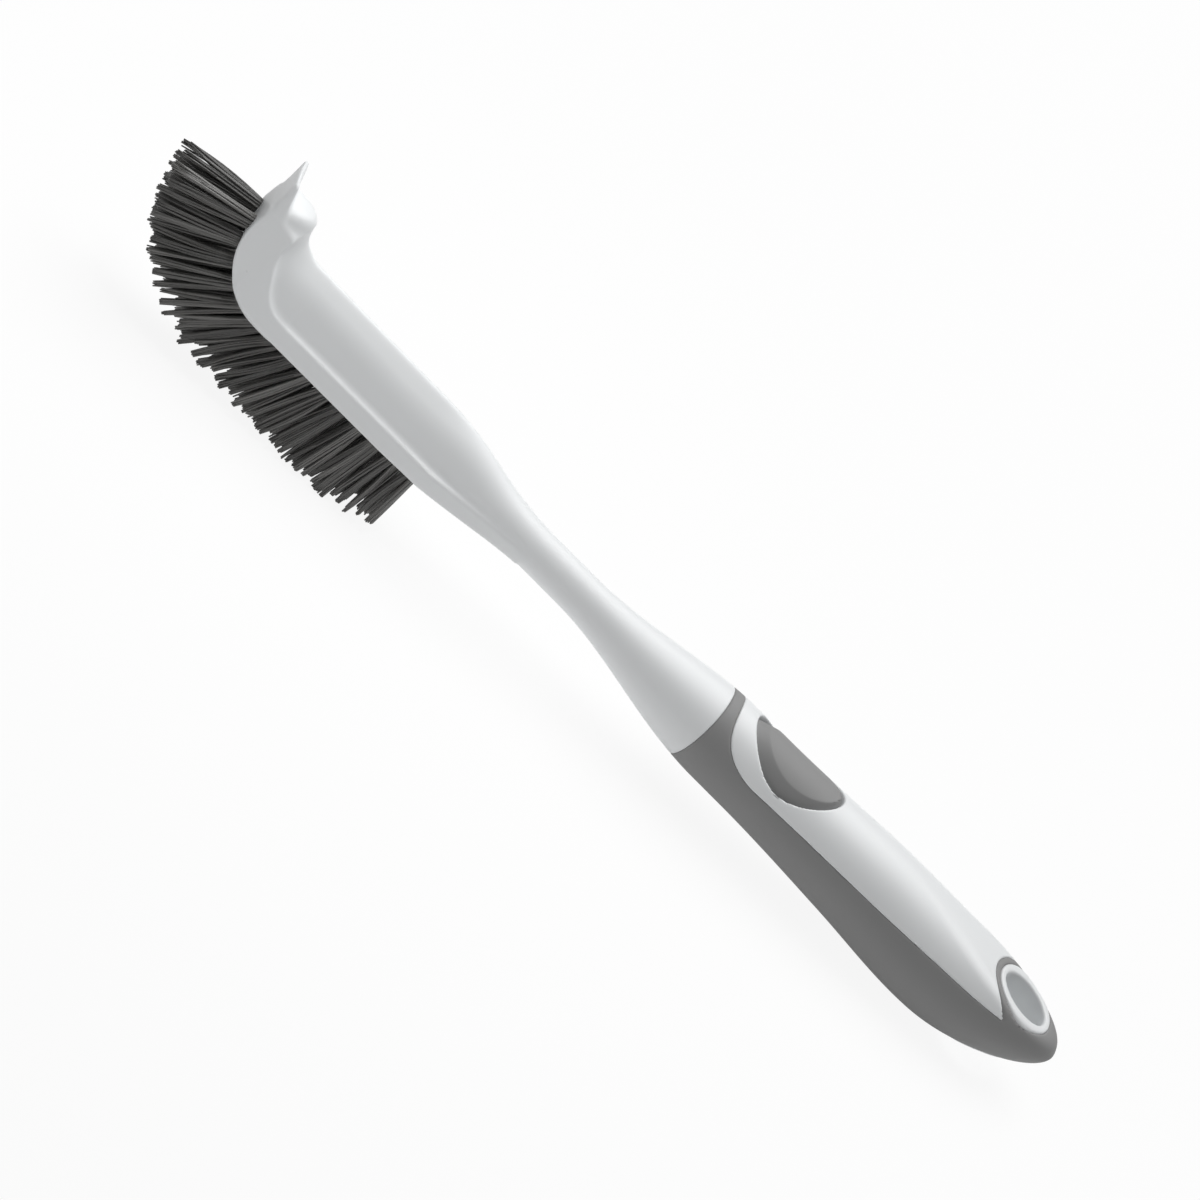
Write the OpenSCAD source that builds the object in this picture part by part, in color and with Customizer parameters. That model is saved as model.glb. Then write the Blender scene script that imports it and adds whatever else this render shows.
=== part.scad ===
// Crevice brush: a long white handle with a curled head, three rows of bristle tufts, a scraper
// edge at the toe, and a soft grey grip with a thumb pad and a hanging eye.
// It lies as it rests on a table: on the tips of its bristles and on the belly of its grip.
// +X runs from the toe to the tail, +Y is the far side, +Z is up, and the table is z = 0.
// The shapes are drawn along the handle's own axis first, with x = 0 in front of the toe.

/* [Head] */
// Length of the straight part of the bristle face
face_straight = 50.7; // [40:0.1:60]
// Radius of the curl of the bristle face at the toe
curl_r = 18.5; // [17:0.1:21]
// Distance from the origin to the front of the curl
toe_gap = 0.8; // [0.5:0.1:2]
// Drop of the bristle face below the axis
face_drop = 8.2; // [7.8:0.1:9]
// Width of the bristle face
face_w = 16.8; // [16:0.1:19]
// Width over the top edge of the side flange
flange_w = 18; // [17.5:0.1:20]
// Height of the side flange on the straight part
flange_h = 5.2; // [4.8:0.1:6.5]
// Thickness of the flange round the curl
curl_flange_h = 8.8; // [8:0.1:10]
// Width of the toe at the end of the curl
toe_w = 14; // [13.4:0.1:15]
// Width of the crown above the flange
crown_w = 15; // [14:0.1:16]
// Height of the crown above the axis, over the heel of the bristle face
crown_h = 8; // [7:0.1:9]
// Height of the crown above the axis, behind the hollow
crown_front_h = 8.6; // [7:0.1:9.5]
// Height of the flat hump above the axis
hump_h = 17.8; // [16:0.1:18.5]
// Length of the hump from the front wall to its rear edge
hump_len = 9.3; // [8:0.1:11]
// Radius of the hollow between the hump and the crown
hollow_r = 9; // [6:0.1:9.5]

/* [Scraper] */
// Height of the scraper's crest above the axis
scraper_h = 23.2; // [21:0.1:24]
// Width of the scraper
scraper_w = 13; // [11:0.1:13.4]
// Thickness of the crest
crest_t = 1.25; // [0.8:0.05:1.6]
// Distance that the crest leans forward of the toe
crest_lean = 1.5; // [0.5:0.1:2]
// Length of the slope behind the crest
crest_slope = 2.4; // [2:0.1:4.5]
// Radius of the two corners of the crest
crest_corner_r = 2; // [1:0.1:3]

/* [Neck] */
// Distance from the heel of the bristle face to the front edge of the grip
neck_len = 84.8; // [75:0.1:95]
// Diameter of the neck at its waist
neck_d = 10.3; // [9:0.1:11]
// Drop of the middle of the neck below the axis
neck_drop = 2.4; // [2:0.1:2.8]
// Length over which the crown narrows to the neck
shoulder_len = 45; // [38:0.5:50]
// Length over which the neck swells to the grip
flare_len = 51; // [40:0.5:55]

/* [Grip] */
// Length of the grip from its front edge to the tail
grip_len = 110.2; // [105:0.1:120]
// Height of the grip behind its front edge
barrel_h = 20.8; // [19:0.1:22]
// Width of the grip behind its front edge
barrel_w = 21.8; // [20:0.1:23]
// Drop of the middle of the grip below the axis
barrel_drop = 3.1; // [2.5:0.1:3.5]
// Height of the grip at its belly
belly_h = 24.9; // [23:0.1:26]
// Width of the grip at its belly
belly_w = 26; // [24:0.1:27]
// Drop of the middle of the belly below the axis
belly_drop = 3.8; // [3:0.1:4.2]
// Drop of the tail's end below the axis
tail_drop = 0.6; // [0.5:0.1:2]
// Length of the rounded tail
tail_len = 31.2; // [29:0.1:33]
// Thickness of the soft grip over the core
grip_wall = 2.4; // [1.8:0.1:2.8]

/* [White strip] */
// Distance from the grip's front edge to the front of the strip
strip_gap = 2.8; // [2:0.1:4]
// Length of the strip's rounded front
strip_nose = 14.4; // [10:0.1:18]
// Drop of the strip's edge below the axis at the end of its rounded front
strip_drop = 1; // [0:0.1:2]
// Rise of the strip's edge over its length
strip_rise = 3.3; // [2:0.1:4]
// Height at which the strip's front is upright
strip_nose_h = 8.5; // [7.5:0.1:10]

/* [Thumb pad] */
// Distance from the grip's front edge to the middle of the pad
pad_at = 21.3; // [19:0.1:26]
// Length of the pad
pad_len = 27.1; // [22:0.1:29]
// Width of the pad
pad_w = 18.8; // [14:0.1:19]
// Height of the pad above the strip
pad_rise = 0.3; // [0.3:0.1:1.2]
// Depth of the pocket that the pad fills
pad_sink = 1; // [0.6:0.1:1.5]

/* [Hanging eye] */
// Distance from the middle of the eye to the tail's end
eye_back = 14.25; // [14:0.05:16]
// Length of the eye
eye_len = 13.6; // [12:0.1:15]
// Width of the eye
eye_w = 11.2; // [10:0.1:12]
// Thickness of the white wall at the two ends of the eye
eye_wall = 1.8; // [1.4:0.1:2.2]
// Thickness of the white wall at the two sides of the eye
eye_side_wall = 2.9; // [2:0.1:3.2]
// Width of the grey ring round the head side of the eye
ring_w = 1.7; // [1.2:0.1:2]
// Height of the flat above the axis at the middle of the eye
eye_flat_h = 4.9; // [4:0.1:6]
// Slope of the flat round the eye, in degrees
eye_slope = 7.5; // [6:0.5:12]

/* [Bristles] */
// Tufts in each side row
side_tufts = 15; // [12:1:15]
// Distance between the tufts of a row, along the bristle face
tuft_pitch = 5.35; // [5.3:0.05:6]
// Distance from the heel of the bristle face to the first tuft
first_tuft = 2; // [1.8:0.1:3]
// Distance between neighbouring rows on the straight part
row_gap = 5.6; // [5.2:0.1:5.8]
// Distance between neighbouring rows at the end of the curl
toe_row_gap = 3.5; // [3.4:0.1:4.4]
// Diameter of a tuft hole
hole_d = 3.2; // [2.8:0.1:3.3]
// Depth of a tuft hole
hole_depth = 4.2; // [3.5:0.1:4.5]
// Clearance between a tuft's root and its hole, all round
root_clear = 0.05; // [0.03:0.01:0.1]
// Length of the bristles in the middle of a row
bristle_len = 19.5; // [17:0.1:22]
// Length trimmed off the bristles at the heel
heel_trim = 4.5; // [3:0.1:6]
// Length added to the bristles at the toe
toe_extra = 4; // [2:0.1:6]
// Angle that the bristles fan forward at the toe, in degrees
fan = 79.5; // [76:0.5:90]
// Angle that the side rows lean outwards, in degrees
side_lean = 5; // [4:0.5:8]
// Width of a bristle strand
strand_w = 0.68; // [0.5:0.01:0.7]
// Depth that the bristle tips are worn flat on the table
tip_flat = 0.5; // [0.3:0.1:0.5]

/* [Tuft anchors] */
// Thickness of an anchor
anchor_t = 0.3; // [0.2:0.05:0.4]
// Height of an anchor
anchor_h = 1.5; // [1:0.1:1.8]
// Length of an anchor
anchor_len = 2.7; // [2.2:0.1:2.7]
// Clearance between an anchor and the fold of its tuft
anchor_clear = 0.05; // [0.03:0.01:0.1]

/* [Hidden] */
white = "#f2f3f3";
soft_grey = "#75787b";
bristle_grey = "#4a4a49";
steel = "#b8babc";

side_names = [for (i = [1:side_tufts]) str("near_tuft_", i)];
middle_names = [for (i = [1:side_tufts - 1]) str("middle_tuft_", i)];
far_names = [for (i = [1:side_tufts]) str("far_tuft_", i)];

// Places along the handle's axis
curl_x = toe_gap + curl_r;
curl_z = curl_r - face_drop;
heel_x = curl_x + face_straight;
grip_x = heel_x + neck_len;
tail_x = grip_x + grip_len;
eye_x = tail_x - eye_back;
pad_x = grip_x + pad_at;
hump_x = toe_gap + hump_len;
shoulder_x = heel_x - 13;
fade_len = 28;
flare_x = heel_x + 41;
barrel_x = grip_x + 20;
belly_x = grip_x + 77;
face_len = face_straight + curl_r * PI / 2;

// 0 before a, 1 after b, and a smooth step between
function step_up(x, a, b) = let (t = max(0, min(1, (x - a) / (b - a)))) t * t * (3 - 2 * t);
function mix(a, b, t) = a + (b - a) * t;

// The outer form is a row of rounded sections: their middle height, half height and half width
function swell_1(x) = step_up(x, flare_x + 3, flare_x + flare_len);
function swell_2(x) = step_up(x, barrel_x - 4, belly_x - 2);
function sag_1(x) = step_up(x, flare_x - 6, flare_x + flare_len - 12);
function sag_2(x) = step_up(x, belly_x - 28, belly_x - 4);
function shoulder(x) = 1 - step_up(x, shoulder_x, shoulder_x + shoulder_len);
function crown_top(x) = mix(crown_front_h, crown_h, max(0, min(1, (x - curl_x) / (shoulder_x - curl_x))));
function hump_slope(x) =
    x < hump_x ? hump_h
    : x < hump_x + hollow_r + 1
        ? min(hump_h, crown_top(x) + hollow_r
            - sqrt(max(0, pow(hollow_r, 2) - pow(hump_x + hollow_r + 1 - x, 2))))
        : crown_top(x);
function crown_bottom(x) =
    x > curl_x ? -face_drop : curl_z - sqrt(max(0, pow(curl_r, 2) - pow(curl_x - x, 2)));
bury = 0.3;
function crown_mid(x) = (hump_slope(x) + crown_bottom(x) + bury) / 2;
function crown_half(x) = (hump_slope(x) - crown_bottom(x) - bury) / 2;
function tail_round(x, power) = pow(max(0, 1 - pow(max(0, (x - tail_x + tail_len) / tail_len), 2)), power);
function mid_z(x) =
    -neck_drop + (crown_mid(x) + neck_drop) * shoulder(x)
    - (barrel_drop - neck_drop) * sag_1(x) - (belly_drop - barrel_drop) * sag_2(x)
    + (belly_drop - tail_drop) * step_up(x, tail_x - tail_len - 5, tail_x);
function half_h(x) = tail_round(x, 0.62) * (neck_d / 2 + (crown_half(x) - neck_d / 2) * shoulder(x)
    + (barrel_h - neck_d) / 2 * swell_1(x) + (belly_h - barrel_h) / 2 * swell_2(x));
function half_w(x) = tail_round(x, 0.5) * (neck_d / 2 + (crown_w - neck_d) / 2 * shoulder(x - 2)
    + (barrel_w - neck_d) / 2 * swell_1(x) + (belly_w - barrel_w) / 2 * swell_2(x));
function eye_flat(x) = eye_flat_h - (x - eye_x) * tan(eye_slope);

// One section of the form, shrunk by inset; the hump's sections are squarer than the rest
ring_n = 24;
function squareness(x) = mix(1, 0.52, step_up(-x, -hump_x - 5, -hump_x));
function bulge(v, p) = sign(v) * pow(abs(v), p);
function section(x, inset = 0) =
    let (w = half_w(x) * mix(toe_w / crown_w, 1, step_up(x, 0, hump_x + 6)) - inset)
    let (h = half_h(x) - inset, p = squareness(x))
    [for (i = [0:ring_n - 1]) let (a = 360 * (i + 0.5) / ring_n)
        [x, w * bulge(cos(a), p), min(mid_z(x) + h * bulge(sin(a), p), eye_flat(x) - inset)]];

// A closed solid through rings of points, each with the same number of points
module loft(rings) {
    n = len(rings[0]);
    last = len(rings) - 1;
    points = [for (r = rings) each r];
    sides = [for (i = [0:last - 1], j = [0:n - 1]) let (k = (j + 1) % n)
        each [[i * n + j, (i + 1) * n + j, (i + 1) * n + k], [i * n + j, (i + 1) * n + k, i * n + k]]];
    ends = [[for (j = [0:n - 1]) j], [for (j = [n - 1:-1:0]) last * n + j]];
    polyhedron(points, concat(sides, ends));
}

// Stations of the sections: from the front wall to the grip, and from the grip to the tail
hump_stations = [toe_gap + 0.2, toe_gap + 3, hump_x - 3, hump_x, hump_x + 1, hump_x + 1.8, hump_x + 3,
    hump_x + 4.5, hump_x + 6, hump_x + 7.5];
front_stations = concat(hump_stations, [curl_x + 4], [for (i = [0:4:20]) shoulder_x + i * shoulder_len / 20],
    [for (i = [0:8]) mix(flare_x, grip_x, i / 8)]);
tail_tip = 0.05;
rear_stations = concat([for (i = [0:10]) mix(grip_x, tail_x - tail_len, i / 10)],
    [for (i = [1:10]) tail_x - tail_len + (tail_len - tail_tip) * sin(9 * i)]);

// The neck reaches into the grip by this much
root_len = 1;
module grip_form() { loft([for (x = rear_stations) section(x)]); }
module inner_core() {
    inner_end = tail_x - grip_wall * 2;
    stations = concat([grip_x - root_len], [for (x = rear_stations) if (x > grip_x && x < inner_end) x]);
    loft([for (x = stations) section(x, grip_wall)]);
}

// An upright oval prism through the handle, longer than any section is high or wide
reach = belly_h + belly_w;
module oval(length, width, x) {
    translate([x, 0, -reach]) linear_extrude(2 * reach)
        polygon([for (a = [0:7.5:352.5]) [length / 2 * cos(a), width / 2 * sin(a)]]);
}

module eye_oval(more = 0) {
    oval(eye_len + 2 * (eye_wall + more), eye_w + 2 * (eye_side_wall + more), eye_x);
}

// Side view of the white strip, cut through the whole width, less the ring round the eye
strip_x = grip_x + strip_gap + strip_nose;
strip_end = eye_x - 1.7;
module strip_window() {
    nose = [for (a = [0:7.5:90])
        [strip_x - strip_nose * cos(a), strip_nose_h - (strip_nose_h + strip_drop) * sin(a)]];
    rear = [[strip_end, strip_rise - strip_drop], [strip_end, reach]];
    difference() {
        translate([0, reach, 0]) rotate([90, 0, 0]) linear_extrude(2 * reach)
            polygon(concat([[strip_x - strip_nose, reach]], nose, rear));
        eye_oval(ring_w);
    }
}

// The pad and its pocket: the form over the pad's stretch, grown or shrunk
module pad_form(grow) {
    over = 3;
    stations = [for (i = [0:6]) pad_x - pad_len / 2 - over + i * (pad_len + 2 * over) / 6];
    loft([for (x = stations) section(x, -grow)]);
}

// The bristle face: place, inward direction and width at a distance s from the heel
function curl_angle(s) = max(0, s - face_straight) / curl_r * 180 / PI;
function face_point(s) = let (a = curl_angle(s))
    [heel_x - min(s, face_straight) - curl_r * sin(a), 0, -face_drop + curl_r * (1 - cos(a))];
function face_half(s) = mix(face_w, toe_w + face_w - flange_w, step_up(s, face_straight - 5, face_len)) / 2;

// One ring of the side flange: drafted walls, a soft top edge and a fillet up to the crown
function flange_half(half, edge, h) = [[half - 0.35, 0], [half, 0.3], [edge, h - 0.6], [edge - 0.15, h - 0.1],
    [edge - 0.7, h + 0.2], [min(crown_w / 2, edge) - 0.6, h + 1.5]];
function flange_outline(half, edge, h) = let (side = flange_half(half, edge, h))
    concat(side, [for (i = [len(side) - 1:-1:0]) [-side[i][0], side[i][1]]]);
function flange_ring(s) =
    let (a = curl_angle(s), p = face_point(s), half = face_half(s))
    let (h = mix(flange_h, curl_flange_h, step_up(s, face_straight - 4, face_straight + 16)))
    [for (q = flange_outline(half, half + (flange_w - face_w) / 2, h))
        [p[0] + q[1] * sin(a), q[0], p[2] + q[1] * cos(a)]];

// Behind the heel the flange fades into the neck
function fade_ring(t) =
    let (half = mix(face_w / 2, neck_d / 2 - 1.5, t), edge = mix(flange_w / 2, neck_d / 2, t))
    let (z = mix(-face_drop, -neck_drop - neck_d / 2 + 1.3, t), h = mix(flange_h, 3.5, pow(t, 1.5)))
    [for (q = flange_outline(half, edge, h)) [heel_x + t * fade_len, q[0], z + q[1]]];
module flange() {
    curl = [for (i = [0:12]) flange_ring(face_len - i * (face_len - face_straight + 5) / 12)];
    fade = [for (i = [0:6]) fade_ring(i / 6)];
    loft(concat(curl, fade));
}

// Thin edge across the toe, leaning forward over the front wall
module scraper() {
    foot_z = curl_z - 1;
    crest_x = toe_gap - crest_lean;
    side = [[toe_gap + 0.1, foot_z], [crest_x, scraper_h - crest_t / 2], [crest_x + crest_t / 4, scraper_h],
        [crest_x + crest_t * 3 / 4, scraper_h], [crest_x + crest_t, scraper_h - crest_t / 2],
        [crest_x + crest_t + crest_slope, hump_h - 0.5], [crest_x + crest_t + crest_slope, foot_z]];
    half = scraper_w / 2 - crest_corner_r;
    top = scraper_h - crest_corner_r;
    front = concat([[scraper_w / 2, foot_z - 1]],
        [for (a = [0:15:90]) [half + crest_corner_r * cos(a), top + crest_corner_r * sin(a)]],
        [for (a = [90:15:180]) [-half + crest_corner_r * cos(a), top + crest_corner_r * sin(a)]],
        [[-scraper_w / 2, foot_z - 1]]);
    intersection() {
        translate([0, reach, 0]) rotate([90, 0, 0]) linear_extrude(2 * reach) polygon(side);
        translate([-reach, 0, 0]) rotate([90, 0, 90]) linear_extrude(2 * reach) polygon(front);
    }
}

// Tufts: row -1 is the near row, 0 the middle row and 1 the far row
function tuft_count(row) = row == 0 ? side_tufts - 1 : side_tufts;
function tuft_s(row, i) = first_tuft + tuft_pitch * (i + (row == 0 ? 0.5 : 0));
function row_y(row, s) = row * mix(row_gap, toe_row_gap, step_up(s, face_straight - 5, face_len));
function tuft_base(row, i) = let (s = tuft_s(row, i)) face_point(s) + [0, row_y(row, s), 0];
function tuft_fan(row, i) = fan * pow(tuft_s(row, i) / face_len, 1.6);
function tuft_len(row, i) = let (s = tuft_s(row, i))
    bristle_len - heel_trim * pow(max(0, 1 - s / 13), 1.5)
    + toe_extra * pow(max(0, (s - face_straight) / (face_len - face_straight)), 1.3);

// A tuft's own axes: across, along the row, and out along the bristles
function tuft_axes(row, i) = let (a = tuft_fan(row, i), b = row * side_lean)
    [[sin(a) * sin(b), cos(b), cos(a) * sin(b)], [cos(a), 0, -sin(a)],
        [-sin(a) * cos(b), sin(b), -cos(a) * cos(b)]];
function in_tuft(row, i, p) = let (m = tuft_axes(row, i)) tuft_base(row, i) + p[0] * m[0] + p[1] * m[1] + p[2] * m[2];

// Strands of a tuft: three in the middle and seven round them, spreading to the tips
inner_strands = 3;
outer_strands = 7;
root_spread = 1.14;
tip_spread = 2.2;
inner_share = 0.4;
function strand_angle(k) = k < inner_strands ? 360 * k / inner_strands + 20
    : 360 * (k - inner_strands) / outer_strands;
function strand_at(k, t) = (k < inner_strands ? inner_share : 1) * mix(root_spread, tip_spread, pow(t, 1.5));
function ragged(row, i, k) = 0.35 * sin(97 * (row + 2) + 131 * i + 211 * k);
function strand_ring(row, i, k, t, h, w) = let (a = strand_angle(k), r = strand_at(k, t))
    [for (j = [0:2]) in_tuft(row, i, [r * cos(a) + w / 2 * cos(120 * j + a),
        r * sin(a) + w / 2 * sin(120 * j + a), h])];

// The resting line touches the grip's belly and the worn tips of one tuft near the heel
rest_tuft = 2;
belly_point = [belly_x - 3.5, 0, mid_z(belly_x - 3.5) - half_h(belly_x - 3.5)];
tip_point = in_tuft(1, rest_tuft, [0, 0, tuft_len(1, rest_tuft) - tip_flat]);
tilt = atan((belly_point[2] - tip_point[2]) / (belly_point[0] - tip_point[0]));
function across(p) = p[0] * cos(tilt) + p[2] * sin(tilt);
function above(p) = p[2] * cos(tilt) - p[0] * sin(tilt);
table_z = min([for (x = rear_stations) each [for (p = section(x)) above(p)]]);

// A tip that would reach below the table is worn back along its strand
function worn(p, q) = above(p) >= table_z ? p : q + (p - q) * (above(q) - table_z) / (above(q) - above(p));
function strand_rings(row, i, k) =
    let (length = tuft_len(row, i) + ragged(row, i, k))
    let (root = strand_ring(row, i, k, 0, -strand_foot, strand_w))
    let (middle = strand_ring(row, i, k, 0.5, length / 2, strand_w))
    let (tip = strand_ring(row, i, k, 1, length, strand_w * 0.8))
    [root, middle, [for (j = [0:2]) worn(tip[j], middle[j])]];
strand_foot = 0.3;
root_proud = 0.3;

// The part is centred on its own box, with the table at z = 0
all_tips = [for (row = [-1:1]) each [for (i = [side_tufts - 4:tuft_count(row) - 1]) each
    [for (k = [0:inner_strands + outer_strands - 1]) each
        [for (p = strand_rings(row, i, k)[2]) across(p)]]]];
front_end = min(all_tips);
rear_end = max([for (p = section(rear_stations[len(rear_stations) - 1])) across(p)]);
module placed() {
    translate([-(front_end + rear_end) / 2, 0, -table_z]) rotate([0, tilt, 0]) children();
}

// Puts children on a tuft's own axes, with the origin on the bristle face
module on_tuft(row, i) {
    b = tuft_base(row, i);
    m = tuft_axes(row, i);
    multmatrix([[m[0][0], m[1][0], m[2][0], b[0]], [m[0][1], m[1][1], m[2][1], b[1]],
        [m[0][2], m[1][2], m[2][2], b[2]], [0, 0, 0, 1]]) children();
}
module every_tuft() {
    for (row = [-1:1], i = [0:tuft_count(row) - 1]) on_tuft(row, i) children();
}

// One moulding: head, neck, core, white strip and the wall of the eye
module handle_core() {
    color(white) placed() difference() {
        union() {
            flange();
            loft([for (x = front_stations) section(x)]);
            scraper();
            inner_core();
            difference() {
                intersection() {
                    grip_form();
                    strip_window();
                }
                difference() {
                    oval(pad_len, pad_w, pad_x);
                    pad_form(-pad_sink);
                }
            }
            intersection() {
                grip_form();
                eye_oval();
            }
        }
        oval(eye_len, eye_w, eye_x);
        every_tuft() translate([0, 0, -hole_depth]) cylinder(h = hole_depth + 4, d = hole_d, $fn = 24);
    }
}

// Soft sleeve round the core, open at the strip and at the eye
module grip() {
    color(soft_grey) placed() difference() {
        grip_form();
        inner_core();
        strip_window();
        eye_oval();
    }
}

// Soft oval in its pocket on the strip
module thumb_pad() {
    color(soft_grey) placed() intersection() {
        difference() {
            pad_form(pad_rise);
            pad_form(-pad_sink);
            translate([pad_x, 0, -reach]) cube([3 * reach, 3 * reach, 2 * reach], center = true);
        }
        oval(pad_len, pad_w, pad_x);
    }
}

// Flat anchors at the bottom of the holes, across the fold of each tuft
module tuft_anchors() {
    color(steel) placed() every_tuft()
        translate([-anchor_len / 2, -anchor_t / 2, -hole_depth + anchor_clear])
            cube([anchor_len, anchor_t, anchor_h]);
}

// One tuft: its root, folded over the anchor, and its strands
module tuft(row, i) {
    slot_t = anchor_t + 2 * anchor_clear;
    color(bristle_grey) placed() union() {
        on_tuft(row, i) difference() {
            translate([0, 0, -hole_depth + anchor_clear])
                cylinder(h = hole_depth - anchor_clear + root_proud, d = hole_d - 2 * root_clear, $fn = 24);
            translate([-hole_d, -slot_t / 2, -hole_depth - anchor_clear])
                cube([2 * hole_d, slot_t, anchor_h + 3 * anchor_clear]);
        }
        for (k = [0:inner_strands + outer_strands - 1]) loft(strand_rings(row, i, k));
    }
}

handle_core();
grip();
thumb_pad();
tuft_anchors();
for (i = [0:side_tufts - 1]) tuft(-1, i);
for (i = [0:side_tufts - 2]) tuft(0, i);
for (i = [0:side_tufts - 1]) tuft(1, i);
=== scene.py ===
"""Looks of the crevice brush: glossy white handle, soft grey grip, and three rows of dark bristles."""

import bpy
import numpy as np
from mathutils import Matrix, Vector


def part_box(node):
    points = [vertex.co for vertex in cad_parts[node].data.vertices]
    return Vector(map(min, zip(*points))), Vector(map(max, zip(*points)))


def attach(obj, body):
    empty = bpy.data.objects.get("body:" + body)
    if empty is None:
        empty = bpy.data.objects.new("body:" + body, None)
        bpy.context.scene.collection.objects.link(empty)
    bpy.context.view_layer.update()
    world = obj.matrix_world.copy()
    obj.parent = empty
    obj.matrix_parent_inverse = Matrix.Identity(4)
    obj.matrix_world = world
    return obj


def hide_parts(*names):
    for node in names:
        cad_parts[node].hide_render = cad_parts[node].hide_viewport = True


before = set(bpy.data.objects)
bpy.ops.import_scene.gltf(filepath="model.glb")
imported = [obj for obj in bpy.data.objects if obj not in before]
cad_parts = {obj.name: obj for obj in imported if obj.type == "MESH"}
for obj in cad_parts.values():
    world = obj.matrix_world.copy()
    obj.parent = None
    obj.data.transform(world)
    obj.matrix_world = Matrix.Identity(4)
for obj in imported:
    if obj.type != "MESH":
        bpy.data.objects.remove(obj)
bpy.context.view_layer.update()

# The brush as it lies
# It rests on the tips of its bristles and the belly of its grip. Sizes are in millimetres along the
# handle's axis: x from in front of the toe towards the tail, y to the far side and z up. The grip's
# tail, and its belly at its depth below that axis, show how far the axis is moved.
REST_TILT = np.radians(3.5899)
TAIL_END, TAIL_DROP = 264.995, 0.6
BELLY_DEPTH = 30.594
TURN = np.array([[np.cos(REST_TILT), 0, np.sin(REST_TILT)], [0, 1, 0],
                 [-np.sin(REST_TILT), 0, np.cos(REST_TILT)]])
tail = TURN @ np.array([TAIL_END, 0, -TAIL_DROP])
SHIFT = np.array([1000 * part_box("grip")[1].x - tail[0], 0,
                  1000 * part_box("grip")[0].z + BELLY_DEPTH])


def to_scene(points):
    """Points along the handle's axis, in millimetres, to the scene's metres: turned, then moved."""
    return (np.asarray(points) @ TURN.T + SHIFT) / 1000


# Camera, light and floor
# The photograph looks down on the near side from the head's end, through a long lens, and is
# turned so that the handle runs from the upper left to the lower right. A wide soft lamp hangs
# above and behind, and a narrow one over the head, in a white room with a white table.
PHOTO_PIXELS = 1200
PIXELS_PER_MM = 4.524
AXIS_ORIGIN_PIXEL = np.array([230.4, 230.4])
CAMERA_RIGHT = np.array([0.6881, 0.1989, 0.6978])
CAMERA_UP = np.array([-0.6883, 0.4827, 0.5415])
# From 12 m they show the object.
CAMERA_DISTANCE, SENSOR_MM = 30.0, 36
ROOM_LIGHT = 0.175
TABLE_SIZE, TABLE_Z = 30, -0.0002
TABLE_GLOW, TABLE_GLOW_SEEN = 0.3, 0.6


def in_scene(name, data):
    """A new object with that data, at the origin of the scene."""
    item = bpy.data.objects.new(name, data)
    bpy.context.scene.collection.objects.link(item)
    return item


def camera_turned(right, up):
    """The camera's three axes as columns: right and up made square to each other, and back."""
    right = TURN @ right / np.linalg.norm(right)
    up = TURN @ up
    back = np.cross(right, up)
    back /= np.linalg.norm(back)
    return np.stack([right, np.cross(back, right), back], axis=1)


axes = camera_turned(CAMERA_RIGHT, CAMERA_UP)
to_centre = (PHOTO_PIXELS / 2 - AXIS_ORIGIN_PIXEL) / PIXELS_PER_MM / 1000
aim = to_scene([0, 0, 0]) + axes[:, 0] * to_centre[0] - axes[:, 1] * to_centre[1]
camera_data = bpy.data.cameras.new("camera")
camera_data.sensor_width = SENSOR_MM
camera_data.lens = SENSOR_MM * CAMERA_DISTANCE * 1000 * PIXELS_PER_MM / PHOTO_PIXELS
camera_data.clip_end = 2 * CAMERA_DISTANCE
place = np.eye(4)
place[:3, :3] = axes
place[:3, 3] = aim + axes[:, 2] * CAMERA_DISTANCE
camera = in_scene("camera", camera_data)
camera.matrix_world = Matrix(place.tolist())
bpy.context.scene.camera = camera
bpy.context.scene.view_settings.view_transform = "Standard"


def srgb(code):
    """A colour from its six hex digits, made linear by the usual curve."""
    value = np.array([int(code[i:i + 2], 16) / 255 for i in (0, 2, 4)])
    linear = np.where(value <= 0.04045, value / 12.92, ((value + 0.055) / 1.055) ** 2.4)
    return (*linear.tolist(), 1.0)


def hang_lamp(name, kind, where, towards, watts, **settings):
    """A lamp of that kind at a place in metres, facing a point on the object."""
    lamp = bpy.data.lights.new(name, kind)
    lamp.energy = watts
    for setting, value in settings.items():
        setattr(lamp, setting, value)
    holder = in_scene(name, lamp)
    holder.location = where
    holder.rotation_euler = (Vector(towards) - Vector(where)).to_track_quat("-Z", "Y").to_euler()


hang_lamp("above_and_behind", "AREA", (0.1, 0.45, 1.1), (0, 0, 0.02), 14, size=1.2)
hang_lamp("over_the_head", "SPOT", (-0.2, -0.2, 0.95), (-0.1, 0, 0.03), 12,
          spot_size=np.radians(24), spot_blend=1.0, shadow_soft_size=0.16)


def empty_tree(owner):
    """The node tree of a material or of the world, with nothing in it."""
    owner.use_nodes = True
    owner.node_tree.nodes.clear()
    return owner.node_tree


def node(tree, kind, inputs=None, **settings):
    """A new shader node with its settings. Each input given gets a value, or a link from a socket
    or from a node's first output."""
    new = tree.nodes.new("ShaderNode" + kind)
    for setting, value in settings.items():
        setattr(new, setting, value)
    for socket, value in (inputs or {}).items():
        if isinstance(value, bpy.types.Node):
            value = value.outputs[0]
        if isinstance(value, bpy.types.NodeSocket):
            tree.links.new(value, new.inputs[socket])
        else:
            new.inputs[socket].default_value = value
    return new


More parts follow.
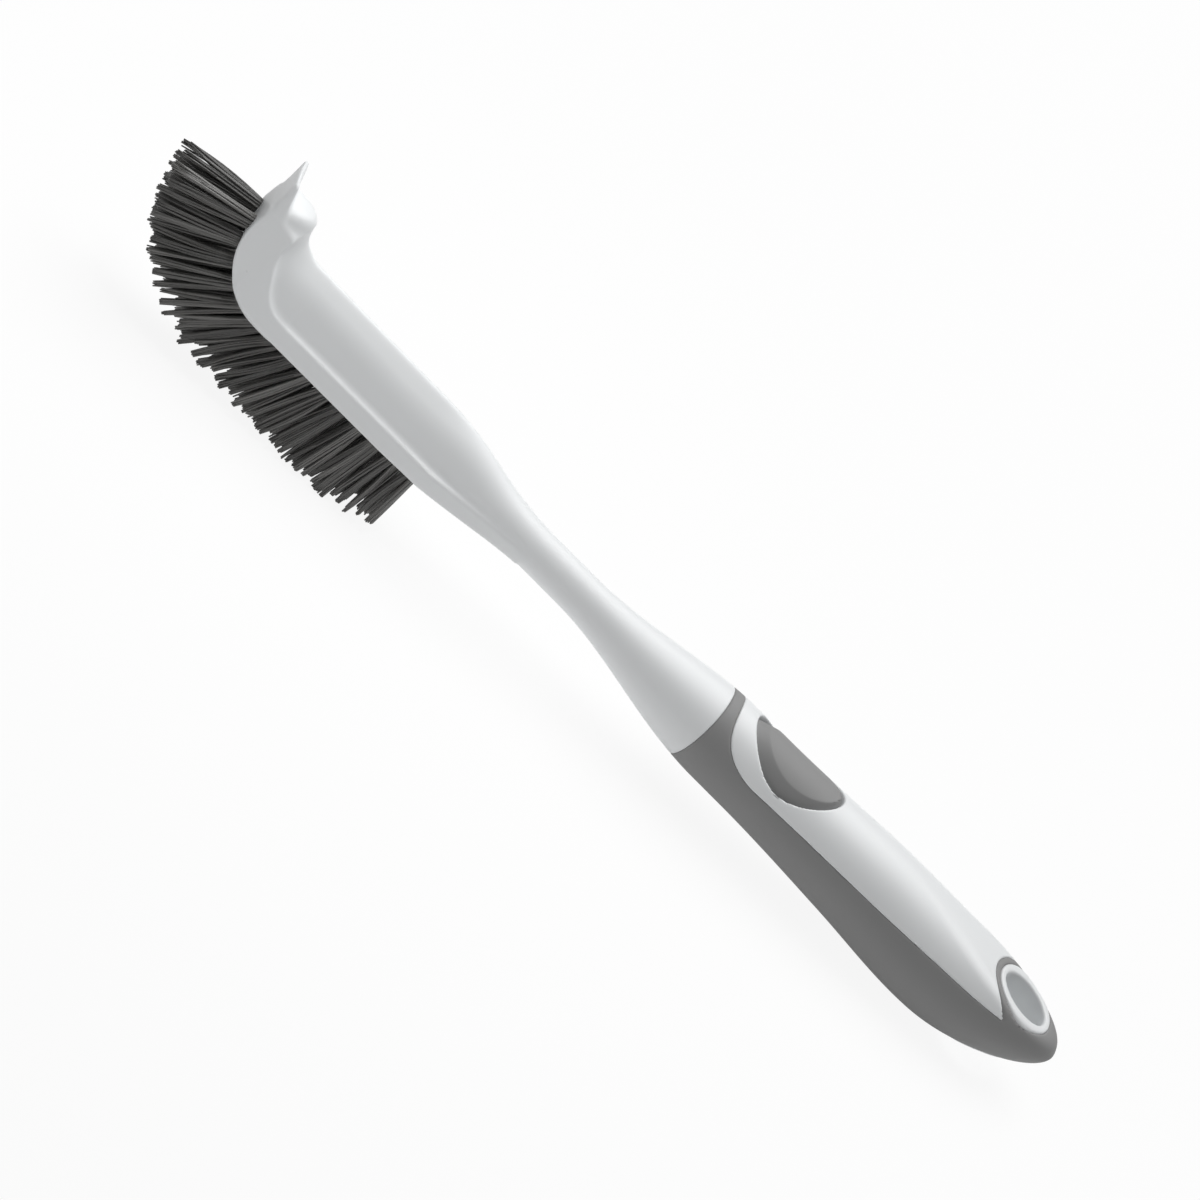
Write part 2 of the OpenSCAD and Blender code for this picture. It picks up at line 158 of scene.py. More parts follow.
# The camera sees the room as pure white, and the object is lit by a dimmer one.
world = bpy.data.worlds.new("white_room")
bpy.context.scene.world = world
room = empty_tree(world)
seen = node(room, "LightPath").outputs["Is Camera Ray"]
dim = node(room, "Background", {"Color": srgb("f6f6f6"), "Strength": ROOM_LIGHT})
white = node(room, "Background", {"Color": (1, 1, 1, 1), "Strength": 1.0})
choose = node(room, "MixShader", {0: seen, 1: dim, 2: white})
node(room, "OutputWorld", {"Surface": choose})

# Matt white paper: it glows, mostly to the camera, so that only a faint shadow is left on it.
bpy.ops.mesh.primitive_plane_add(size=TABLE_SIZE, location=(0, 0, TABLE_Z))
table = bpy.context.object
table.name = "table"
paper = bpy.data.materials.new("white_table")
tree = empty_tree(paper)
matt = node(tree, "BsdfPrincipled", {"Base Color": srgb("f2f2f2"), "Roughness": 0.9})
bright = node(tree, "Emission", {"Color": (1, 1, 1, 1)})
seen = node(tree, "LightPath").outputs["Is Camera Ray"]
share = node(tree, "Math", {0: seen, 1: TABLE_GLOW_SEEN, 2: TABLE_GLOW}, operation="MULTIPLY_ADD")
blend = node(tree, "MixShader", {0: share, 1: matt, 2: bright})
node(tree, "OutputMaterial", {"Surface": blend})
table.data.materials.append(paper)

# Handle: head and neck
# One hard white moulding: a bristle bed with a drafted flange, a crown under a roof, a toe curled up
# through a quarter turn, a round-shouldered hump and a thin scraper edge. Every inside corner has a
# fillet, so the form is distances that melt into each other, and its skin is found on a fine grid.
FACE_STRAIGHT, CURL_R, TOE_GAP, FACE_DROP = 50.7, 18.5, 0.8, 8.2
FACE_W, FLANGE_W, TOE_W, CROWN_W = 16.8, 18.0, 14.0, 15.0
FLANGE_H, CURL_FLANGE_H = 5.2, 8.8
CROWN_H, CROWN_FRONT_H, CROWN_LEAN, CROWN_LEAN_Z, CROWN_SINK = 8.0, 8.6, 0.35, -2, 0.3
RIDGE_H, RIDGE_ROUND, ROOF_FADE = 0.85, 0.8, 34
HUMP_H, HUMP_LEN, HUMP_HALF_W, HUMP_PLAN_R, HUMP_SHOULDER_R = 17.8, 9.3, 7.0, 9.0, 6.0
HOLLOW_R, HOLLOW_BACK, HOLLOW_STEEP, HOLLOW_SINK, HOLLOW_SINK_SPAN = 9.0, 1, 4, 1.5, (14, 20)
SCRAPER_H, SCRAPER_W = 23.2, 13.0
CREST_T, CREST_LEAN, CREST_SLOPE, CREST_BOW = 1.1, 1.3, 2.4, 0.4
NECK_LEN, NECK_D, NECK_DROP, SHOULDER_LEN, FLARE_LEN = 84.8, 10.3, 2.4, 45.0, 51.0
FADE_LEN, FADE_RISE, FADE_THIN, FADE_NARROW = 28.0, 2.0, 1.6, 0.9
GRIP_LEN, BARREL_H, BARREL_W, BARREL_DROP = 110.2, 20.8, 21.8, 3.1
BELLY_H, BELLY_W, BELLY_DROP = 24.7, 25.75, 3.8
TAIL_LEN, TAIL_POWER_H, TAIL_POWER_W = 31.2, 0.62, 0.5

# Where each form lies along the handle, and where each change of the section starts and ends.
CURL_X, CURL_Z = TOE_GAP + CURL_R, CURL_R - FACE_DROP
CROWN_X, SCRAPER_FOOT_X, SCRAPER_FOOT_Z = CURL_X - 11, TOE_GAP + 0.1, CURL_Z - 1
HEEL_X = CURL_X + FACE_STRAIGHT
GRIP_X = HEEL_X + NECK_LEN
TAIL_X = GRIP_X + GRIP_LEN
SHOULDER_X, FLARE_X = HEEL_X - 13, HEEL_X + 41
BARREL_X, BELLY_X = GRIP_X + 20, GRIP_X + 77
SHOULDER_SPAN = SHOULDER_X, SHOULDER_X + SHOULDER_LEN
SHOULDER_W_SPAN = SHOULDER_X + 2, SHOULDER_X + SHOULDER_LEN + 2
FLARE_SPAN = FLARE_X + 3, FLARE_X + FLARE_LEN
FLARE_SAG_SPAN = FLARE_X - 6, FLARE_X + FLARE_LEN - 12
BELLY_SPAN = BARREL_X - 4, BELLY_X - 2
BELLY_SAG_SPAN = BELLY_X - 28, BELLY_X - 4
TAIL_RISE_SPAN = TAIL_X - TAIL_LEN - 5, TAIL_X

# The same along the bristle face, from the heel.
FACE_LEN = FACE_STRAIGHT + CURL_R * np.pi / 2
TOE_SPAN = FACE_STRAIGHT - 5, FACE_LEN
CURL_FLANGE_SPAN = FACE_STRAIGHT - 4, FACE_STRAIGHT + 16


def ease(x, start, end):
    """0 before start, 1 after end, and the smooth cubic step between."""
    t = np.clip((x - start) / (end - start), 0, 1)
    return t * t * (3 - 2 * t)


def melt(a, b, r):
    """Union of two distances, with a fillet of about r where they meet."""
    h = np.clip(0.5 + 0.5 * (b - a) / r, 0, 1)
    return b + (a - b) * h - r * h * (1 - h)


def trim(a, b, r):
    """Intersection of two distances, with the edge between them rounded by about r."""
    return -melt(-a, -b, r)


def oval_distance(p, q, w, h):
    """Distance to an oval of half sizes w and h: the oval's own radius, scaled by its gradient."""
    k = np.hypot(p / w, q / h) + 1e-9
    return k * (k - 1) / (np.hypot(p / w ** 2, q / h ** 2) + 1e-9)


def crown_top(x):
    """Height of the crown: highest behind the hollow, a little lower over the heel."""
    along = np.clip((x - CURL_X) / (SHOULDER_X - CURL_X), 0, 1)
    return CROWN_FRONT_H + (CROWN_H - CROWN_FRONT_H) * along


def spine(x):
    """Middle height, half height and half width of the handle's section at x."""
    shoulder, shoulder_w = 1 - ease(x, *SHOULDER_SPAN), 1 - ease(x, *SHOULDER_W_SPAN)
    flare, belly = ease(x, *FLARE_SPAN), ease(x, *BELLY_SPAN)
    crown_mid = (crown_top(x) - FACE_DROP + CROWN_SINK) / 2
    crown_half = (crown_top(x) + FACE_DROP - CROWN_SINK) / 2
    middle = (-NECK_DROP + (crown_mid + NECK_DROP) * shoulder
              - (BARREL_DROP - NECK_DROP) * ease(x, *FLARE_SAG_SPAN)
              - (BELLY_DROP - BARREL_DROP) * ease(x, *BELLY_SAG_SPAN)
              + (BELLY_DROP - TAIL_DROP) * ease(x, *TAIL_RISE_SPAN))
    along = np.clip((x - TAIL_X + TAIL_LEN) / TAIL_LEN, 0, 1)
    tail = np.maximum(1 - along ** 2, 1e-4)
    half_h = tail ** TAIL_POWER_H * (
        NECK_D / 2 + (crown_half - NECK_D / 2) * shoulder
        + (BARREL_H - NECK_D) / 2 * flare + (BELLY_H - BARREL_H) / 2 * belly)
    half_w = tail ** TAIL_POWER_W * (
        NECK_D / 2 + (CROWN_W - NECK_D) / 2 * shoulder_w
        + (BARREL_W - NECK_D) / 2 * flare + (BELLY_W - BARREL_W) / 2 * belly)
    return middle, half_h, half_w


def bed_depth(x, z):
    """Depth under the bristle face: straight from the heel, then round the curl, then upright."""
    return CURL_R - np.hypot(np.minimum(x - CURL_X, 0), np.minimum(z - CURL_Z, 0))


def bed_travel(x, z):
    """Distance along the bristle face from the heel."""
    turn = np.arctan2(np.maximum(CURL_X - x, 0), np.maximum(CURL_Z - z, 1e-6))
    return HEEL_X - np.maximum(x, CURL_X) + CURL_R * np.where(x < CURL_X, turn, 0)


def face_half(s):
    """Half width of the bristle face, which narrows round the curl."""
    return (FACE_W + (TOE_W - FLANGE_W) * ease(s, *TOE_SPAN)) / 2


def flange(x, y, z):
    """The band round the bristle bed: drafted sides and a soft top edge. Behind the heel it rises,
    thins and narrows until it ends on the neck."""
    behind = np.clip((x - HEEL_X) / FADE_LEN, 0, 1)
    depth = bed_depth(x, z) - FADE_RISE * behind ** 1.3
    travel = bed_travel(x, z)
    height = FLANGE_H + (CURL_FLANGE_H - FLANGE_H) * ease(travel, *CURL_FLANGE_SPAN)
    height = height - FADE_THIN * behind ** 1.5
    half = face_half(travel) + (FLANGE_W - FACE_W) / 2 * np.clip(depth / height, 0, 1)
    half = half - behind * (FACE_W / 2 - NECK_D / 2 + FADE_NARROW)
    side = trim(trim(np.abs(y) - half, depth - height, 0.9), z - CURL_Z - 3, 1.5)
    return trim(trim(side, -depth, 0.8), x - HEEL_X - FADE_LEN - 1, 1.0)


def roof_height(x, y):
    """Height of the roof on the back of the head: two slopes and a rounded ridge."""
    return crown_top(x) + RIDGE_H + RIDGE_ROUND - np.sqrt(y ** 2 + RIDGE_ROUND ** 2)


def crown(x, y, z):
    """The back of the head and the neck: leaning sides under a roof with a rounded ridge, which
    turns into ovals along the neck."""
    middle, half_h, half_w = spine(x)
    round_neck = oval_distance(y, z - middle, half_w, half_h)
    side = (np.abs(y) - half_w + CROWN_LEAN * (z - CROWN_LEAN_Z)) / np.hypot(1, CROWN_LEAN)
    head = trim((z - roof_height(x, y)) * np.sqrt(0.5), side, 1.2)
    head = trim(head, -FACE_DROP + 0.5 - z, 1.0)
    head = trim(head, -bed_depth(x, z) + CROWN_SINK, 0.8)
    share = ease(x, SHOULDER_X, SHOULDER_X + ROOF_FADE)
    return trim(head * (1 - share) + round_neck * share, CROWN_X - x, 1.0)


def hump(x, y, z):
    """Round-shouldered block over the toe, round behind too, with a hollow sweep down to the roof."""
    edge = TOE_GAP + HUMP_LEN
    behind = x + y ** 2 / (2 * HUMP_PLAN_R)
    reach = edge + HOLLOW_R + HOLLOW_BACK - behind
    sweep = np.maximum(HOLLOW_R ** 2 - np.clip(reach, 0, HOLLOW_R) ** 2, 0)
    top = roof_height(x, y) - RIDGE_H + HOLLOW_R - np.sqrt(sweep)
    top = top + HOLLOW_STEEP * np.maximum(edge + HOLLOW_BACK - behind, 0)
    top = top - HOLLOW_SINK * ease(behind, *HOLLOW_SINK_SPAN)
    slope = np.clip(reach / np.sqrt(sweep + 1.0), 0, HOLLOW_STEEP)
    roof = trim((z - top) / np.sqrt(2 + slope ** 2), z - HUMP_H, 3.0)
    block = trim(roof, np.abs(y) - HUMP_HALF_W, HUMP_SHOULDER_R)
    return trim(trim(block, -bed_depth(x, z) + 0.1, 0.8), x - CURL_X - 2, 0.5)


def scraper(x, y, z):
    """Thin leaning edge across the toe, its crest bowed a little forward with round corners."""
    bow = CREST_BOW * (1 - (y / (SCRAPER_W / 2)) ** 2)
    crest_x = TOE_GAP - CREST_LEAN
    rise = (z - SCRAPER_FOOT_Z) / (SCRAPER_H - SCRAPER_FOOT_Z)
    face_x = SCRAPER_FOOT_X + (crest_x - SCRAPER_FOOT_X) * rise - bow * np.clip(rise, 0, 1)
    steep = CREST_SLOPE / (SCRAPER_H - HUMP_H)
    back = (x - crest_x + bow - CREST_T - (SCRAPER_H - z) * steep) / np.hypot(1, steep)
    blade = trim(trim((face_x - x) * 0.99, back, 0.5), z - SCRAPER_H, 0.9)
    return trim(trim(blade, np.abs(y) - SCRAPER_W / 2, 1.6), SCRAPER_FOOT_Z - z, 0.5)


def handle_front(x, y, z):
    """Head and neck: the parts melted together, cut square at the grip."""
    body = melt(crown(x, y, z), flange(x, y, z), 1.6)
    body = melt(body, hump(x, y, z), 2.4)
    body = melt(body, scraper(x, y, z), 1.0)
    return trim(body, x - GRIP_X, 0.3)


def drawn_onto(distance, points, step):
    """Points moved onto the surface where distance is 0, along the slope of the distance, in six
    moves that each stay within the grid cell."""
    nudge, least_slope = 1e-3, 0.05
    for _ in range(6):
        here = distance(*points.T)
        slope = np.stack([(distance(*(points + nudge * np.eye(3)[a]).T) - here) / nudge
                          for a in range(3)], axis=1)
        move = here[:, None] * slope / np.maximum((slope ** 2).sum(1), least_slope)[:, None]
        points = points - np.clip(move, -0.4 * step, 0.4 * step)
    return points


def skin(name, distance, low, high, step):
    """Mesh of the surface where distance is 0: one point in each grid cell that it crosses, drawn
    onto the surface, and a quad round each grid edge that it cuts."""
    spans = [np.arange(a, b + step, step) for a, b in zip(low, high)]
    value = distance(*np.meshgrid(*spans, indexing="ij", sparse=True))
    value = np.broadcast_to(value, [len(s) for s in spans])
    inside = value < 0
    cells = [n - 1 for n in inside.shape]
    corners = [inside[i:i + cells[0], j:j + cells[1], k:k + cells[2]]
               for i in (0, 1) for j in (0, 1) for k in (0, 1)]
    count = np.sum(corners, axis=0, dtype=np.int8)
    cell = np.argwhere((count > 0) & (count < 8))
    number = np.full(count.shape, -1)
    number[tuple(cell.T)] = np.arange(len(cell))
    points = (cell + 0.5) * step + np.array([s[0] for s in spans])
    quads = []
    for axis in range(3):
        first, second = [a for a in range(3) if a != axis]
        lower = [slice(1, -1)] * 3
        lower[axis] = slice(0, -1)
        upper = list(lower)
        upper[axis] = slice(1, None)
        a, b = inside[tuple(lower)], inside[tuple(upper)]
        for mask, turned in ((a & ~b, False), (b & ~a, True)):
            edge = np.argwhere(mask) + np.array([0 if i == axis else 1 for i in range(3)])
            step_1, step_2 = np.eye(3, dtype=int)[first], np.eye(3, dtype=int)[second]
            ring = [edge - step_1 - step_2, edge - step_2, edge, edge - step_1]
            quad = np.stack([number[tuple(r.T)] for r in ring], axis=1)
            flip = turned ^ (axis == 1)
            quads.append(quad[:, ::-1] if flip else quad)
    mesh = bpy.data.meshes.new(name)
    mesh.from_pydata(to_scene(drawn_onto(distance, points, step)).tolist(), [],
                     np.concatenate(quads).tolist())
    mesh.polygons.foreach_set("use_smooth", np.ones(len(mesh.polygons), bool))
    return in_scene(name, mesh)


def moulded(name, colour, roughness, grain_mm, depth_mm, tone=0.02, **sockets):
    """A moulded surface: one colour with a faint drift every two centimetres, and the grain of its
    mould. That grain is finer than a pixel, so it is drawn as coarse as it needs to show."""
    material = bpy.data.materials.new(name)
    tree = empty_tree(material)
    place = node(tree, "TexCoord").outputs["Object"]
    drift = node(tree, "TexNoise", {"Vector": place, "Scale": 60, "Detail": 2})
    tones = node(tree, "ValToRGB", {0: drift})
    base = np.array(srgb(colour)[:3])
    tones.color_ramp.elements[0].color = (*(base * (1 - tone)).tolist(), 1)
    tones.color_ramp.elements[1].color = (*np.minimum(base * (1 + tone), 1).tolist(), 1)
    grain = node(tree, "TexNoise", {"Vector": place, "Scale": 1000 / grain_mm, "Detail": 3})
    bump = node(tree, "Bump", {"Strength": 1.0, "Distance": depth_mm / 1000, "Height": grain})
    shader = node(tree, "BsdfPrincipled", {"Base Color": tones, "Roughness": roughness,
                                           "Normal": bump, **sockets})
    node(tree, "OutputMaterial", {"Surface": shader})
    return material


# Polypropylene from a polished mould: bright white, with broad soft highlights on its ridges.
white_plastic = moulded("glossy_white_polypropylene", "eef0f1", 0.4, 0.9, 0.002, tone=0.01, IOR=1.49)

front = skin("handle_front", handle_front, (-3, -11.7, -14.5), (GRIP_X + 1, 11.9, 25), 0.36)
front.data.materials.append(white_plastic)
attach(front, "root")
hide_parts("handle_core")

# White strip and the wall of the hanging eye
# They are the same moulding as the head, showing through the soft grip: a strip along the upper
# half with a round front end and a pocket for the thumb pad, and an oval tube round the eye.
STRIP_GAP, STRIP_NOSE, STRIP_NOSE_H = 2.8, 14.4, 8.5
STRIP_DROP, STRIP_RISE, STRIP_T = 1.0, 3.3, 3
EYE_BACK, EYE_LEN, EYE_W, EYE_FLAT_H = 14.25, 13.6, 11.2, 4.9
EYE_WALL, EYE_SIDE_WALL, EYE_SIDE_THIN, EYE_THIN_DEPTH = 1.8, 2.9, 1.9, 8
EYE_SLOPE, EYE_PROUD, RING_W = np.tan(np.radians(7.5)), 0.2, 1.7
EYE_X = TAIL_X - EYE_BACK
STRIP_X = GRIP_X + STRIP_GAP + STRIP_NOSE
STRIP_END = EYE_X - 1.7
PAD_X, PAD_LEN, PAD_W, PAD_SINK = GRIP_X + 21.3, 27.1, 18.8, 1.8


def rear_form(x, y, z):
    """The outside of the grip: ovals along the handle, with a sloping flat round the eye."""
    middle, half_h, half_w = spine(x)
    flat = (z - EYE_FLAT_H + (x - EYE_X) * EYE_SLOPE) / np.hypot(1, EYE_SLOPE)
    return trim(oval_distance(y, z - middle, half_w, half_h), flat, 1.5)


def eye_oval(x, y, wall, side_wall):
    """Distance to the upright oval prism round the eye, grown by a wall at its ends and sides."""
    return oval_distance(x - EYE_X, y, EYE_LEN / 2 + wall, EYE_W / 2 + side_wall)


def eye_outside(x, y, z):
    """Distance to the outside of the eye's wall, which gets thinner at its sides lower down."""
    return eye_oval(x, y, EYE_WALL, EYE_SIDE_WALL - EYE_SIDE_THIN * ease(-z, 0, EYE_THIN_DEPTH))


def strip_edge(x, z):
    """Side view of the strip: a quarter oval at its front, then a straight line to the tail."""
    rise = STRIP_RISE / (STRIP_END - STRIP_X)
    line = -STRIP_DROP + (x - STRIP_X) * rise - z
    nose = oval_distance(np.minimum(x - STRIP_X, 0), np.minimum(z - STRIP_NOSE_H, 0),
                         STRIP_NOSE, STRIP_NOSE_H + STRIP_DROP)
    return np.where(x < STRIP_X, nose, line)


def strip_region(x, y, z):
    """Inside the strip: above its edge, ahead of its end, and outside the ring round the eye."""
    region = trim(strip_edge(x, z), x - STRIP_END, 0.6)
    return trim(region, -eye_oval(x, y, EYE_WALL + RING_W, EYE_SIDE_WALL + RING_W), 0.4)


def pad_oval(x, y):
    """Distance to the upright oval prism round the thumb pad."""
    return oval_distance(x - PAD_X, y, PAD_LEN / 2, PAD_W / 2)


def white_strip(x, y, z):
    """Skin of the strip, as thick as it is moulded, with the pad's pocket cut into it."""
    outside = rear_form(x, y, z)
    strip = trim(trim(outside, strip_region(x, y, z), 0.35), -outside - STRIP_T, 0.3)
    pocket = trim(pad_oval(x, y), -outside - PAD_SINK, 0.2)
    return trim(strip, -pocket, 0.4)


def eye_tube(x, y, z):
    """Oval tube through the tail, its rim a little proud and rounded."""
    outside = rear_form(x, y, z) - EYE_PROUD
    tube = trim(outside, eye_outside(x, y, z), 0.6)
    return trim(tube, -eye_oval(x, y, 0, 0), 0.9)


strip = skin("white_strip", white_strip, (GRIP_X, -14, -4), (TAIL_X, 14, 10), 0.35)
eye = skin("eye_wall", eye_tube, (EYE_X - 10, -10, -16), (EYE_X + 10, 10, 9), 0.3)
for piece in (strip, eye):
    piece.data.materials.append(white_plastic)
    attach(piece, "root")
    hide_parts("handle_core")

# Grip
# A soft grey sleeve moulded over the core, flush with the neck and the strip. It has a square front
# edge, and a narrow ring of it runs round the head side of the eye.


def grip_sleeve(x, y, z):
    """The outside form less the strip and the eye's wall, cut square at its front."""
    body = trim(rear_form(x, y, z), -strip_region(x, y, z), 0.35)
    body = trim(body, -eye_outside(x, y, z), 0.4)
    return trim(trim(body, GRIP_X - x, 0.4), x - TAIL_X, 0.1)


# Thermoplastic elastomer from a fine-grained mould: an even mid grey, nearly matt.
soft_grip = moulded("soft_grey_elastomer", "8e8e8e", 0.62, 0.35, 0.006, tone=0.03, IOR=1.5)
sleeve = skin("grip_sleeve", grip_sleeve, (GRIP_X - 1, -14, -17), (TAIL_X + 0.4, 14, 10), 0.4)
sleeve.data.materials.append(soft_grip)
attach(sleeve, "root")
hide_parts("grip")

# Thumb pad
# An oval of the same elastomer in its pocket, with a wide bevel round a top for the thumb. The top
# is level with the strip, and lies towards the tail, so the bevel is widest at the head's end.
TOP_X, TOP_LEN, TOP_W = PAD_X + 1.5, 21.4, 13.6
EDGE_SINK, BEVEL_SHARE, PAD_GAP = 1.5, 0.9, 0.05


def pad_form(x, y, z):
    """The outside form inside the oval: sunk at the edge, then up a bevel to the level top."""
    outside = rear_form(x, y, z)
    edge = np.maximum(-pad_oval(x, y), 0)
    top = np.maximum(oval_distance(x - TOP_X, y, TOP_LEN / 2, TOP_W / 2), 0)
    lift = -EDGE_SINK + EDGE_SINK * np.clip(edge / (edge + top + 1e-6) / BEVEL_SHARE, 0, 1)
    cap = trim(outside - lift, pad_oval(x, y) + PAD_GAP, 0.4)
    return trim(cap, -outside - PAD_SINK + 0.1, 0.2)


pad = skin("thumb_oval", pad_form, (PAD_X - 15, -11, -2), (PAD_X + 15, 11, 10), 0.3)
pad.data.materials.append(soft_grip)
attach(pad, "root")
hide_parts("thumb_pad")

# Bristles
# Bunches of dark grey filament, each folded and pressed into its own hole in three rows. They stand
# straight at the heel and fan forward round the curl. The ends are cut uneven, and the filaments of
# a bunch draw together into a few points, its clumps.
SIDE_TUFTS, TUFT_PITCH, FIRST_TUFT, ROW_GAP, TOE_ROW_GAP = 15, 5.35, 2.0, 5.6, 3.5
BRISTLE_LEN, HEEL_TRIM, HEEL_TRIM_SPAN, TOE_EXTRA = 19.5, 4.5, 13, 3.7
FAN, SIDE_LEAN = np.radians(79.5), np.radians(5)
FILAMENTS, CLUMPS, FILAMENT_R = 66, 7, 0.3
ROOT_SPREAD, TIP_SPREAD, TIP_OVERLAP, ROOT_DEPTH = 1.5, 2.4, 1.1, 1.5
CLUMP_RADIUS, CLUMP_PULL, CLUMP_PULL_RANGE, TIP_SCATTER = (0.6, 0.9), 0.6, 0.3, 0.06
CLUMP_ENDS, FILAMENT_ENDS = (-1.6, 0.1), (-0.6, 0)
BEND, CLUMP_BEND, FILAMENT_BEND = 1.2, 0.2, 0.12
CLUMP_TONES, FILAMENT_TONES = (0.6, 1.25), (0.75, 1.25)
GOLDEN_ANGLE, SEED = 2.39996, 20
RINGS, SIDES, TIP_TAPER = 8, 4, 0.6
TABLE_CLEARANCE = 2e-5


def tuft_axes(fan, lean):
    """Across the row, along the row and out along the bristles, for a tuft that fans and leans."""
    return np.array([[np.sin(fan) * np.sin(lean), np.cos(lean), np.cos(fan) * np.sin(lean)],
                     [np.cos(fan), 0, -np.sin(fan)],
                     [-np.sin(fan) * np.cos(lean), np.sin(lean), -np.cos(fan) * np.cos(lean)]])


def tuft_line(s, row):
    """Middle of a tuft's root, its length, and its three axes, at a distance s from the heel."""
    turn = max(0, s - FACE_STRAIGHT) / CURL_R
    gap = ROW_GAP + (TOE_ROW_GAP - ROW_GAP) * ease(s, *TOE_SPAN)
    root = np.array([HEEL_X - min(s, FACE_STRAIGHT) - CURL_R * np.sin(turn), row * gap,
                     -FACE_DROP + CURL_R * (1 - np.cos(turn))])
    length = (BRISTLE_LEN - HEEL_TRIM * max(0, 1 - s / HEEL_TRIM_SPAN) ** 1.5
              + TOE_EXTRA * max(0, (s - FACE_STRAIGHT) / (FACE_LEN - FACE_STRAIGHT)) ** 1.3)
    return root, length, tuft_axes(FAN * (max(s, 0) / FACE_LEN) ** 1.6, row * SIDE_LEAN)


def tuft_paths(s, row, chance):
    """Middle lines of one tuft's filaments, and the clump of each. They are spread on a sunflower
    spiral at the root, wide enough to touch the next tuft at the tips, drawn towards their clump,
    and bent a little."""
    root, length, local_axes = tuft_line(s, row)
    beside = [tuft_line(s + side * TUFT_PITCH / 2, row) for side in (-1, 1)]
    half_pitch = np.linalg.norm(np.subtract(*[r + n * a[2] for r, n, a in beside])) / 2
    index = np.arange(FILAMENTS)
    radius, angle = np.sqrt((index + 0.5) / FILAMENTS), index * GOLDEN_ANGLE
    spot = np.stack([radius * np.cos(angle), radius * np.sin(angle)], axis=1)
    clump_angle = chance.uniform(0, 2 * np.pi) + 2 * np.pi * np.arange(CLUMPS) / (CLUMPS - 1)
    clump = np.stack([np.cos(clump_angle), np.sin(clump_angle)], axis=1)
    clump = clump * chance.uniform(*CLUMP_RADIUS, (CLUMPS, 1))
    clump[-1] = 0
    nearest = np.argmin(((spot[:, None] - clump[None]) ** 2).sum(2), axis=1)
    pull = CLUMP_PULL + CLUMP_PULL_RANGE * chance.random(FILAMENTS)[:, None]
    tip = spot * (1 - pull) + clump[nearest] * pull + chance.normal(0, TIP_SCATTER, spot.shape)
    tip *= 1 / np.maximum(np.linalg.norm(tip, axis=1, keepdims=True), 1)
    spread = np.array([TIP_SPREAD, half_pitch * TIP_OVERLAP])
    ends = (length + chance.uniform(*CLUMP_ENDS, CLUMPS)[nearest]
            + chance.uniform(*FILAMENT_ENDS, FILAMENTS))
    t = np.linspace(0, 1, RINGS)[None, :, None]
    bend = (chance.normal(0, CLUMP_BEND, (CLUMPS, 1, 2))[nearest]
            + chance.normal(0, FILAMENT_BEND, (FILAMENTS, 1, 2)))
    flat = (spot[:, None] * ROOT_SPREAD * (1 - t) + tip[:, None] * spread * t
            + bend * np.sin(np.pi * t) * BEND)
    out = -ROOT_DEPTH + (ends[:, None, None] + ROOT_DEPTH) * t
    return root + np.concatenate([flat, out], axis=2) @ local_axes, nearest


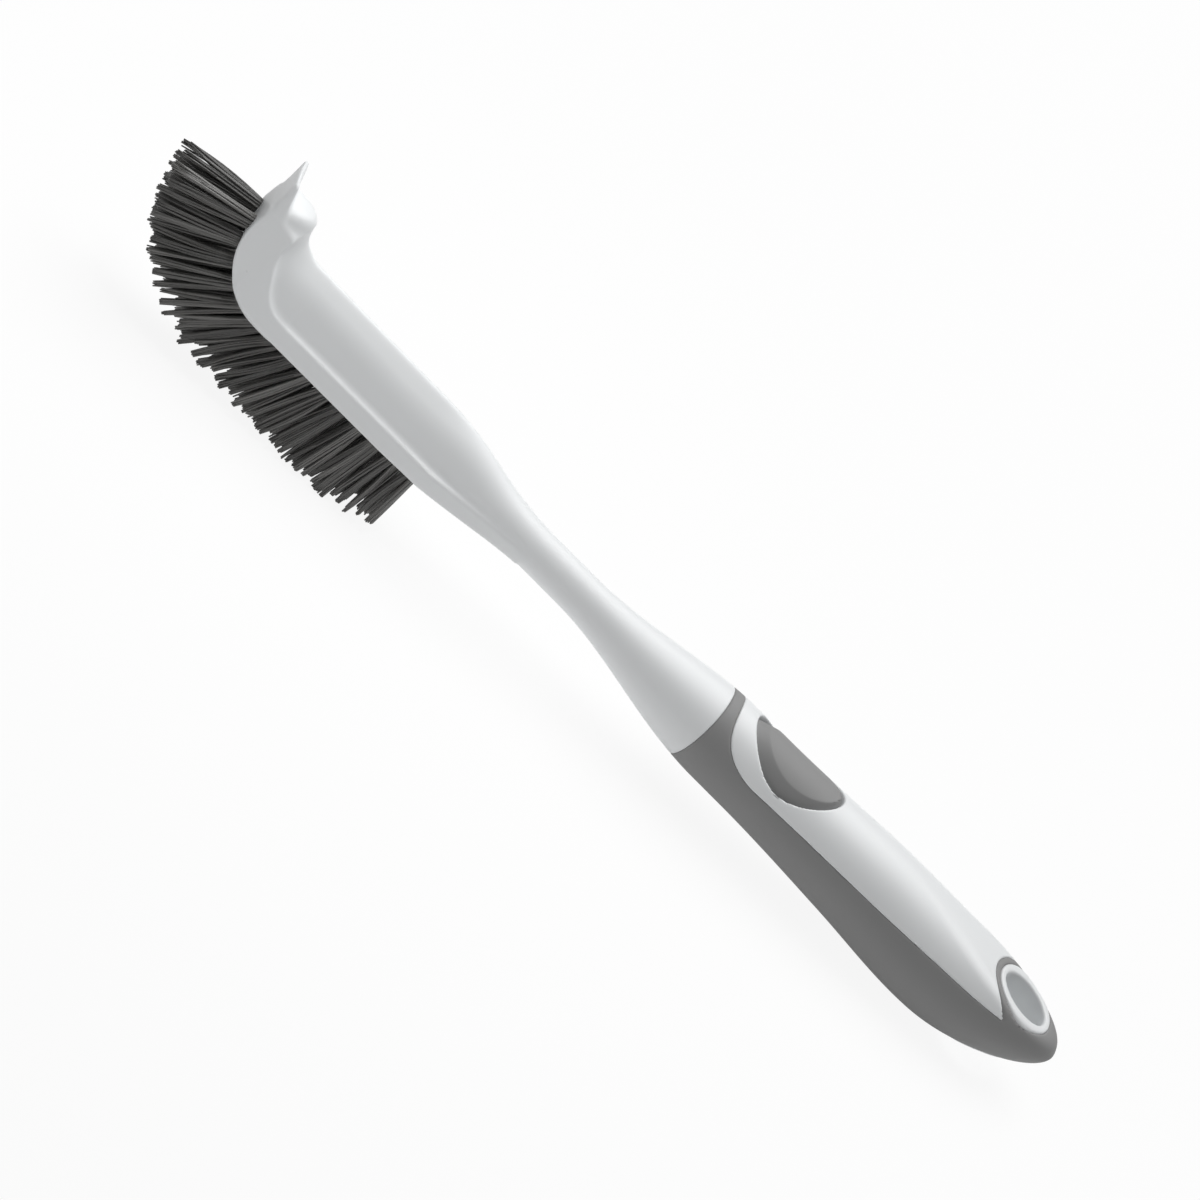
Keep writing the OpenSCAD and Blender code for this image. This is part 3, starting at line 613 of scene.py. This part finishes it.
def bristle_row(name, row, count, first):
    """One row as a single mesh: a four-sided tube round each filament's middle line."""
    chance = np.random.default_rng(SEED + row)
    lines, shades = [], []
    for i in range(count):
        paths, nearest = tuft_paths(first + TUFT_PITCH * i, row, chance)
        lines.append(paths)
        shades.append(chance.uniform(*CLUMP_TONES, CLUMPS)[nearest]
                      * chance.uniform(*FILAMENT_TONES, FILAMENTS))
    lines, shades = np.concatenate(lines), np.concatenate(shades)
    along = np.gradient(lines, axis=1)
    along /= np.linalg.norm(along, axis=2, keepdims=True)
    side = np.cross(along, [0.0, 1.0, 0.01])
    side /= np.linalg.norm(side, axis=2, keepdims=True)
    other = np.cross(along, side)
    angle = 2 * np.pi * np.arange(SIDES) / SIDES
    taper = np.ones(RINGS)
    taper[-1] = TIP_TAPER
    rim = side[:, :, None] * np.cos(angle)[:, None] + other[:, :, None] * np.sin(angle)[:, None]
    points = lines[:, :, None] + rim * FILAMENT_R * taper[:, None, None]
    placed = to_scene(points.reshape(-1, 3))
    placed[:, 2] = np.maximum(placed[:, 2], TABLE_CLEARANCE)
    n = np.arange(len(lines))[:, None, None] * RINGS * SIDES
    ring, j = np.arange(RINGS - 1)[None, :, None] * SIDES, np.arange(SIDES)[None, None]
    k = (j + 1) % SIDES
    walls = np.stack([n + ring + j, n + ring + k, n + ring + SIDES + k, n + ring + SIDES + j],
                     axis=3)
    ends = np.arange(SIDES)[None] + np.arange(len(lines))[:, None] * RINGS * SIDES
    faces = np.concatenate([walls.reshape(-1, 4), ends[:, ::-1], ends + (RINGS - 1) * SIDES])
    mesh = bpy.data.meshes.new(name)
    mesh.from_pydata(placed.tolist(), [], faces.tolist())
    mesh.polygons.foreach_set("use_smooth", np.ones(len(mesh.polygons), bool))
    tone = mesh.attributes.new("filament_tone", "FLOAT", "POINT")
    tone.data.foreach_set("value", np.repeat(shades, RINGS * SIDES).astype(np.float32))
    return in_scene(name, mesh)


# Drawn nylon filament: satin dark grey, each clump and each filament a little lighter or darker.
filament = bpy.data.materials.new("dark_grey_filament")
tree = empty_tree(filament)
tone = node(tree, "Attribute", attribute_name="filament_tone").outputs["Fac"]
tint = node(tree, "Mix", {"Factor": 1.0, "A": srgb("706f6d"), "B": tone},
            data_type="RGBA", blend_type="MULTIPLY")
shader = node(tree, "BsdfPrincipled", {"Base Color": tint.outputs["Result"], "Roughness": 0.42,
                                       "IOR": 1.53})
node(tree, "OutputMaterial", {"Surface": shader})

rows = (("near", -1, SIDE_TUFTS, FIRST_TUFT),
        ("middle", 0, SIDE_TUFTS - 1, FIRST_TUFT + TUFT_PITCH / 2),
        ("far", 1, SIDE_TUFTS, FIRST_TUFT))
for side_name, row, count, first in rows:
    piece = bristle_row(side_name + "_bristles", row, count, first)
    piece.data.materials.append(filament)
    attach(piece, "root")
    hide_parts(*[f"{side_name}_tuft_{i + 1}" for i in range(count)])

# Tuft anchors
# Flat wire anchors, pressed into the holes across the fold of each tuft, out of sight. Their wire
# is rolled steel, grey and smooth.
wire = moulded("flat_steel_wire", "b8babc", 0.35, 0.5, 0.001, Metallic=1.0)
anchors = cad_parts["tuft_anchors"]
anchors.data.materials.clear()
anchors.data.materials.append(wire)
